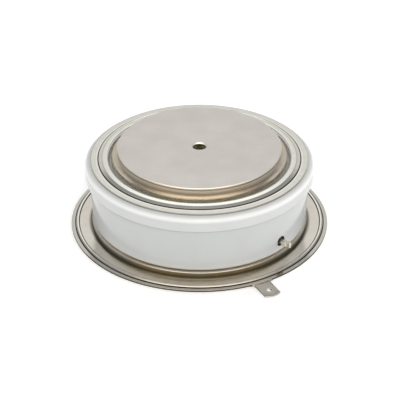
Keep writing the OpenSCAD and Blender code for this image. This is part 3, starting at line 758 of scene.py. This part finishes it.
class THYRISTOR_OT_flanges(bpy.types.Operator):
    """Stamp the two flanges that meet at the weld rim, the lower one with its tab"""
    bl_idname = "thyristor.flanges"
    bl_label = "Weld Flanges"

    def execute(self, context):
        s, t = settings().sizes, sheet_thickness()
        weld, land = FLANGE_LOW.z, FLANGE_HIGH.z
        wall = s.wall_diameter / 2 - t / 2
        # The same finish at every height
        level = ((0.0, 1.0, 0.18, 1.0), (1.0, 1.0, 0.18, 1.0))
        material = stamped_sheet("nickel_flange_stamped", self.wall() + self.rim(), level, clear=0.045)
        plain = stamped_sheet("nickel_lid_stamped", self.rim(), level)
        foot_bend = 0.55 * t
        path = [(s.land_diameter / 2, land - t / 2, 0), (wall, land - t / 2, t),
                (wall, weld + t / 2, foot_bend), (bead_start(), weld + t / 2, 0)]
        upper = turned_piece("housing_flange", sheet(path, t, weld_rim(1)), material, sharp_degrees=22)
        dress(upper, "housing_weld_flange")
        path = bellows(0.0, 1, weld - t, bead_start())
        lower = turned_piece("lid_flange", sheet(path, t, weld_rim(-1)[::-1]), plain)
        combine(lower, self.tab(plain), "UNION")
        dress(lower, "lid_weld_flange")
        return {"FINISHED"}

    def wall(self):
        """Colours of the upper flange: a darker band painted to dim the bend's highlight, painted shade on
        the wall and at its foot, then the flat part.
        """
        s, finish, t = settings().sizes, settings().finish, sheet_thickness()
        wall, bright = s.wall_diameter / 2, shade(finish.sheet, 0.38)
        # A darker band that dims the bend's highlight, then painted shade on the wall and onto the flat's
        # foot
        return ((wall - 0.4 * MM, finish.flange), (wall - 0.3 * MM, bright),
                (wall - 0.15 * MM, bright), (wall - 0.08 * MM, finish.wall_shade),
                (wall + 0.6 * t, finish.wall_shade), (wall + 2.1 * t, finish.flange))

    def rim(self):
        """Colours of the weld rim: a painted highlight on the bead's crown, painted shade beside the bead,
        on its outer slope and round the lip's edge, and the lip a little darker.
        """
        s, finish = settings().sizes, settings().finish
        bead, lip = bead_start(), FLANGE_HIGH.x
        groove, line, flank_shade = lip - s.lip_width, 0.1 * MM, shade(finish.sheet, 0.42)
        pressed = shade(finish.flange, 0.82)
        # Painted shade beside the bead, on its outer slope and round the lip's edge, and a painted
        # highlight on its crown
        return ((bead - 1.5 * line, finish.flange), (bead - line, finish.fold_shade),
                (bead + 1.3 * line, finish.fold_shade), (bead + 1.8 * line, finish.sheet),
                (bead + 6.5 * line, finish.sheet), (bead + 7 * line, flank_shade),
                (groove - 0.5 * line, flank_shade), (groove, finish.fold_shade),
                (groove + 2.5 * line, finish.fold_shade), (groove + 3 * line, pressed),
                (lip - 0.9 * line, pressed), (lip - 0.4 * line, finish.fold_shade),
                (lip + 0.5 * line, finish.fold_shade), (lip + line, finish.tab))

    def tab(self, material):
        """The tab with its hole, from a flat curve with softened edges."""
        s, t = settings().sizes, sheet_thickness()
        soft, drop, bite = 0.05 * MM, 0.05 * MM, 0.08 * MM
        lip = FLANGE_HIGH.x
        tip, half = lip + s.tab_length, s.tab_width / 2
        wide = half + s.tab_root
        shore = math.sqrt(lip ** 2 - wide ** 2) - bite
        bend = 0.98 * s.tab_root
        root = lip - s.lip_width / 2
        radius = (half ** 2 + s.tab_bulge ** 2) / (2 * s.tab_bulge)
        reach = math.asin(half / radius)
        turns = [reach * k / ARC_STEPS for k in range(-ARC_STEPS, ARC_STEPS + 1)]
        arc = [(tip - radius + radius * math.cos(a), radius * math.sin(a), 0) for a in turns]
        outline = rounded([(root, -wide, 0), (shore, -wide, 0), (shore, -half, bend), *arc,
                           (shore, half, bend), (shore, wide, 0), (root, wide, 0)])
        centre = tip - s.tab_hole_inset
        sides, inner = 40, s.tab_hole / 2
        turns = [2 * math.pi * k / sides for k in range(sides)]
        hole = [Vector((centre + math.cos(a) * inner, math.sin(a) * inner)) for a in turns]
        curve = bpy.data.curves.new("tab_outline", "CURVE")
        curve.dimensions = "2D"
        curve.fill_mode = "BOTH"
        curve.extrude = t / 2 - soft
        curve.bevel_depth = soft
        curve.bevel_resolution = 2
        curve.offset = -soft
        for points in (outline, hole):
            spline = curve.splines.new("POLY")
            spline.points.add(len(points) - 1)
            spline.points.foreach_set("co", [c for p in points for c in (p[0], p[1], 0.0, 1.0)])
            spline.use_cyclic_u = True
        blank = new_object("tab_blank", curve)
        mesh = made_mesh(blank)
        bpy.data.objects.remove(blank)
        shell = bmesh.new()
        shell.from_mesh(mesh)
        bmesh.ops.remove_doubles(shell, verts=shell.verts, dist=0.002 * MM)
        bmesh.ops.recalc_face_normals(shell, faces=shell.faces)
        # Faces on the blade's sides take the painted shade
        for face in shell.faces:
            shaded_side = abs(face.normal.y) > 0.8
            face.material_index = int(shaded_side)
        shell.transform(outwards(s.tab_angle, FLANGE_LOW.z - drop - t / 2))
        mesh.materials.clear()
        mesh.materials.append(material)
        # Sides of the blade, cut in the press: painted dark as shade
        mesh.materials.append(grained("nickel_tab_shaded_side", "#6E685C", 1.0, 0.5, 0.2))
        shell.to_mesh(mesh)
        shell.free()
        return new_object("tab_blade", mesh)


class THYRISTOR_OT_gate(bpy.types.Operator):
    """Form the pinched gate tube and its eyelet, and wind the gate spring"""
    bl_idname = "thyristor.gate"
    bl_label = "Gate"

    def execute(self, context):
        s = settings().sizes
        # Drawn nickel tube: a bright warm grey with soft highlights along it
        bright = grained("nickel_tube_drawn", "#DEDAD0", 1.0, 0.34, 0.3)
        dress(self.tube(bright), "gate_tube")
        # Nickel dulled in the braze furnace: an even grey that stays visible in the recess
        dull = grained("nickel_eyelet_fired", "#DAD5C8", 1.0, 0.5, 0.3)
        dress(self.eyelet(dull), "gate_eyelet")
        # Drawn spring steel: a cool grey with a faint grain
        steel = grained("spring_steel_drawn", "#9A9A9C", 1.0, 0.3, 0.4)
        spring = new_object("gate_coil_spring", bpy.data.meshes.new("gate_coil_spring"))
        node_modifier(spring, winding_tree(), {
            "Turns": s.spring_turns, "Radius": SPRING_HIGH.x - s.spring_wire / 2,
            "Height": SPRING_HIGH.z - SPRING_LOW.z - s.spring_wire,
            "Level": SPRING_LOW.z + s.spring_wire / 2, "Wire": s.spring_wire, "Finish": steel})
        dress(settle(spring), "gate_spring")
        return {"FINISHED"}

    def tube(self, material):
        """Tube whose round section flattens to a pinched end, closed there and open inside."""
        s = settings().sizes
        sides, neck_steps, tip_steps = 64, 8, 6
        stub, plug, neck, fillet = 0.6 * MM, 0.3 * MM, 0.5 * MM, 0.3 * MM
        # Powers of the section's outline: a circle, and a rectangle with round corners
        circle, flattened, thinning = 2.0, 6.0, 0.4
        tip = ceramic_foot() + s.gate_reach
        start = s.ceramic_bore / 2 - stub
        pinch = tip - s.pinch_length
        bore_end, bore = pinch - plug, s.tube_bore / 2
        round_half, flat_half = s.tube_diameter / 2, s.pinch_thickness / 2
        wide_half = (TUBE_HIGH.z - TUBE_LOW.z) / 2
        sections = [(bore_end, bore, bore, circle), (start, bore, bore, circle),
                    (start, round_half, round_half, circle)]
        for k in range(neck_steps + 1):
            share = k / neck_steps
            blend = share * share * (3 - 2 * share)
            sections.append((pinch + neck * share, round_half + (flat_half - round_half) * blend,
                             round_half + (wide_half - round_half) * blend,
                             circle + (flattened - circle) * blend))
        for k in range(tip_steps + 1):
            bend = math.pi / 2 * k / tip_steps
            inward = fillet * (1 - math.cos(bend))
            sections.append((tip - fillet * (1 - math.sin(bend)), flat_half - thinning * inward,
                             wide_half - inward, flattened))
        shell = bmesh.new()
        rings = []
        for along, flat, tall, power in sections:
            ring = []
            for k in range(sides):
                a = 2 * math.pi * k / sides
                c, d = math.cos(a), math.sin(a)
                ring.append(shell.verts.new((along, math.copysign(abs(c) ** (2 / power), c) * flat,
                                             math.copysign(abs(d) ** (2 / power), d) * tall)))
            rings.append(ring)
        for first, second in zip(rings, rings[1:]):
            for k in range(sides):
                shell.faces.new((first[k], first[k - 1], second[k - 1], second[k]))
        shell.faces.new(rings[0])
        shell.faces.new(rings[-1])
        shell.transform(outwards(s.gate_angle, gate_level()))
        return settle(shell_object("gate_tube_pinched", shell, material))

    def eyelet(self, material):
        """Ferrule in the ceramic with its flange on the recess floor."""
        s = settings().sizes
        floor = ceramic_foot() - s.recess_depth
        inset, soft = 0.4 * MM, 0.08 * MM
        start = s.ceramic_bore / 2 + inset
        bore, neck, flange = s.tube_diameter / 2, s.eyelet_diameter / 2, (EYELET_HIGH.z - EYELET_LOW.z) / 2
        section = rounded([
            (bore, start, 0), (neck, start, 0), (neck, floor, 0), (flange, floor, 0),
            (flange, floor + s.eyelet_flange, soft), (bore, floor + s.eyelet_flange, soft)])
        piece = turned_piece("gate_eyelet_ferrule", section, material)
        lay = Matrix.Rotation(math.pi / 2, 4, "Y")
        piece.data.transform(outwards(s.gate_angle, gate_level()) @ lay)
        return piece


class THYRISTOR_OT_inner(bpy.types.Operator):
    """Finish the sealed inner pieces, which keep their solids"""
    bl_idname = "thyristor.inner"
    bl_label = "Inner Pieces"

    def execute(self, context):
        finishes = (
            # Ground molybdenum: an even matt grey
            (grained("molybdenum_ground", "#8F9196", 1.0, 0.35, 0.3),
             ("anode_molybdenum_disc", "cathode_molybdenum_disc")),
            # Polished silicon: a dark bluish mirror
            (grained("silicon_polished", "#4A4E57", 1.0, 0.1, 3.0), ("silicon_wafer",)),
            # Cast silicone rubber: brick red with a soft sheen
            (grained("silicone_rubber_cast", "#A2432E", 0.0, 0.55, 0.8), ("wafer_edge_rubber",)),
            # Turned fluoropolymer: a waxy white
            (grained("ptfe_turned", "#EDEBE6", 0.0, 0.45, 0.6),
             ("locating_ring", "gate_insulator_cup", "gate_guide", "gate_lead_sleeve")),
            # Silver plate on drawn wire: pale and bright
            (grained("silver_plate_drawn", "#DAD6CE", 1.0, 0.22, 0.4), ("gate_plunger", "gate_lead")),
        )
        for material, nodes in finishes:
            for node in nodes:
                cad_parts[node].material_slots[0].material = material
        return {"FINISHED"}


class THYRISTOR_OT_stage(bpy.types.Operator):
    """Set the floor, the studio light and the camera"""
    bl_idname = "thyristor.stage"
    bl_label = "Stage"

    def execute(self, context):
        self.floor()
        self.world()
        self.lamps()
        self.camera(context)
        context.scene.view_settings.view_transform = "Standard"
        return {"FINISHED"}

    def floor(self):
        """Pale floor just under the lower contact face, white to the eye but for the object's shadow."""
        # Matt paper: no gloss, and a tooth too fine to see from here
        material, tree, point = new_material("floor_paper_matt")
        tooth = add(tree, "ShaderNodeTexNoise", {"Vector": point, "Scale": 1 / MM})["Fac"]
        tint = settings().finish.floor
        base = add(tree, "ShaderNodeMix", {"Factor": tooth, MIX_FIRST: shade(tint, 0.99),
                                           MIX_SECOND: tint}, data_type="RGBA")[MIX_COLOUR]
        paper = add(tree, "ShaderNodeBsdfDiffuse", {"Color": base})[0]
        rays = add(tree, "ShaderNodeLightPath")
        seen = add(tree, "ShaderNodeMath", {0: rays["Is Camera Ray"], 1: rays["Is Glossy Ray"]},
                   operation="MAXIMUM")[0]
        lift = add(tree, "ShaderNodeMath", {0: seen, 1: 0.45}, operation="MULTIPLY")[0]
        glow = add(tree, "ShaderNodeEmission", {"Strength": lift})[0]
        both = add(tree, "ShaderNodeAddShader", {0: paper, 1: glow})[0]
        add(tree, "ShaderNodeOutputMaterial", {"Surface": both})
        half, gap = 6.0, 0.05 * MM
        corners = [(-half, -half, 0), (half, -half, 0), (half, half, 0), (-half, half, 0)]
        mesh = bpy.data.meshes.new("floor")
        mesh.from_pydata(corners, [], [(0, 1, 2, 3)])
        mesh.materials.append(material)
        plate = new_object("floor", mesh)
        plate.matrix_world = Matrix.Translation((0, 0, -gap))

    def world(self):
        """White surround for the eye. Reflections see a lit wall behind, dimmer high up beside its middle,
        a tan room with a warm softbox in front, and little overhead. The soft light comes mostly from the
        sides."""
        world = bpy.data.worlds.new("studio_surround")
        bpy.context.scene.world = world
        world.use_nodes = True
        tree = world.node_tree
        tree.nodes.clear()
        way = add(tree, "ShaderNodeSeparateXYZ", {0: add(tree, "ShaderNodeTexCoord")["Generated"]})
        front = add(tree, "ShaderNodeMapRange", {"Value": way["Y"], "From Min": -0.1, "From Max": -0.45})[0]
        behind = ((0.0, "#8A8A88"), (0.45, "#8A8A88"), (0.55, "#949492"), (0.66, "#AEAEAC"),
                  (0.75, "#9C9C9A"), (0.9, "#626262"), (1.0, "#505050"))
        ahead = ((0.0, "#8E8474"), (0.45, "#A5967E"), (0.6, "#A5967E"), (0.65, "#FFF6EA"),
                 (0.87, "#FFF6EA"), (0.93, "#7C7C7A"), (1.0, "#505050"))
        walls = [add(tree, "ShaderNodeValToRGB", {"Fac": way["Z"]},
                     stops=[(rise, linear(tone)) for rise, tone in tones])["Color"]
                 for tones in (behind, ahead)]
        room = add(tree, "ShaderNodeMix", {"Factor": front, MIX_FIRST: walls[0], MIX_SECOND: walls[1]},
                   data_type="RGBA")[MIX_COLOUR]
        across = add(tree, "ShaderNodeMath", {0: way["X"]}, operation="ABSOLUTE")[0]
        flanks = ((0.0, 1.0), (0.08, 1.0), (0.35, 0.22), (0.6, 0.22), (0.75, 1.0), (1.0, 1.0))
        middle = add(tree, "ShaderNodeValToRGB", {"Fac": across},
                     stops=[(reach, [tone, tone, tone, 1.0]) for reach, tone in flanks])["Color"]
        high = add(tree, "ShaderNodeMapRange", {"Value": way["Z"], "From Min": 0.48, "From Max": 0.62,
                                                "To Min": 0.25})[0]
        back = add(tree, "ShaderNodeMapRange", {"Value": way["Y"], "From Min": -0.15, "From Max": 0.1})[0]
        high = add(tree, "ShaderNodeMath", {0: high, 1: back}, operation="MULTIPLY")[0]
        middle = add(tree, "ShaderNodeMix", {"Factor": high, MIX_FIRST: WHITE, MIX_SECOND: middle},
                     data_type="RGBA")[MIX_COLOUR]
        room = add(tree, "ShaderNodeVectorMath", {0: room, 1: middle}, operation="MULTIPLY")[0]
        level = 1.0
        levels = ((way["Z"], 0.0, 1.0, 0.6, 0.26), (way["X"], -1.0, 1.0, 0.97, 1.13),
                  (across, 0.3, 1.0, 0.8, 3.6), (front, 0.0, 1.0, 1.0, 0.62))
        for part, start, stop, least, most in levels:
            share = add(tree, "ShaderNodeMapRange", {"Value": part, "From Min": start, "From Max": stop,
                                                     "To Min": least, "To Max": most})[0]
            level = add(tree, "ShaderNodeMath", {0: level, 1: share}, operation="MULTIPLY")[0]
        rays = add(tree, "ShaderNodeLightPath")
        mirrored = add(tree, "ShaderNodeMath", {0: rays["Is Glossy Ray"], 1: rays["Is Transmission Ray"]},
                       operation="MAXIMUM")[0]
        mirrored = add(tree, "ShaderNodeMath", {0: mirrored, 1: rays["Diffuse Depth"]},
                       operation="SUBTRACT", use_clamp=True)[0]
        soft = add(tree, "ShaderNodeBackground", {"Color": WHITE, "Strength": level})[0]
        studio = add(tree, "ShaderNodeBackground", {"Color": room, "Strength": 3.0})[0]
        white = add(tree, "ShaderNodeBackground", {"Color": WHITE, "Strength": 1.0})[0]
        surround = add(tree, "ShaderNodeMixShader", {0: mirrored, 1: soft, 2: studio})[0]
        surround = add(tree, "ShaderNodeMixShader", {0: rays["Is Camera Ray"], 1: surround, 2: white})[0]
        add(tree, "ShaderNodeOutputWorld", {"Surface": surround})

    def lamps(self):
        """One broad soft lamp behind the camera. Its mirror image is the softbox in the surround."""
        lamp = bpy.data.lights.new("front_softbox", "SUN")
        lamp.energy = 1.35
        lamp.angle = math.radians(30)
        thing = new_object("front_softbox", lamp)
        thing.rotation_euler = (math.radians(54), 0.0, math.radians(8))
        thing.visible_glossy = False

    def camera(self, context):
        """Camera at the photograph's place, aimed a little below the top face."""
        data = bpy.data.cameras.new("camera")
        data.sensor_width = 36.0
        data.lens = 137.04
        camera = new_object("camera", data)
        rise, distance = math.radians(29.689), 435.63 * MM
        camera.location = (0.0, -distance * math.cos(rise), POLE_HIGH.z + distance * math.sin(rise))
        camera.rotation_euler = (math.radians(90 - 31.722), 0.0, math.radians(-0.026))
        context.scene.camera = camera


class THYRISTOR_PT_panel(bpy.types.Panel):
    """Lists the steps that build the disc thyristor"""
    bl_idname = "THYRISTOR_PT_panel"
    bl_label = "Disc Thyristor"
    bl_space_type = "VIEW_3D"
    bl_region_type = "UI"
    bl_category = "Thyristor"

    def draw(self, context):
        for step in STEPS:
            self.layout.operator(step.bl_idname)
        for group in (settings().sizes, settings().finish):
            box = self.layout.box()
            for name in group.bl_rna.properties.keys():
                if name not in ("rna_type", "name"):
                    box.prop(group, name)


STEPS = (THYRISTOR_OT_poles, THYRISTOR_OT_braze, THYRISTOR_OT_diaphragm, THYRISTOR_OT_ceramic,
         THYRISTOR_OT_flanges, THYRISTOR_OT_gate, THYRISTOR_OT_inner, THYRISTOR_OT_stage)
CLASSES = (ThyristorSizes, ThyristorFinish, ThyristorSettings, *STEPS, THYRISTOR_PT_panel)


def register():
    """Registers the classes and the scene's settings."""
    for item in CLASSES:
        bpy.utils.register_class(item)
    bpy.types.Scene.disc_thyristor = PointerProperty(type=ThyristorSettings)


def unregister():
    """Removes the settings and the classes."""
    del bpy.types.Scene.disc_thyristor
    for item in reversed(CLASSES):
        bpy.utils.unregister_class(item)


def main():
    """Registers the add-on and builds every piece in order."""
    register()
    for step in STEPS:
        group, name = step.bl_idname.split(".")
        getattr(getattr(bpy.ops, group), name)()


if __name__ == "__main__":
    main()
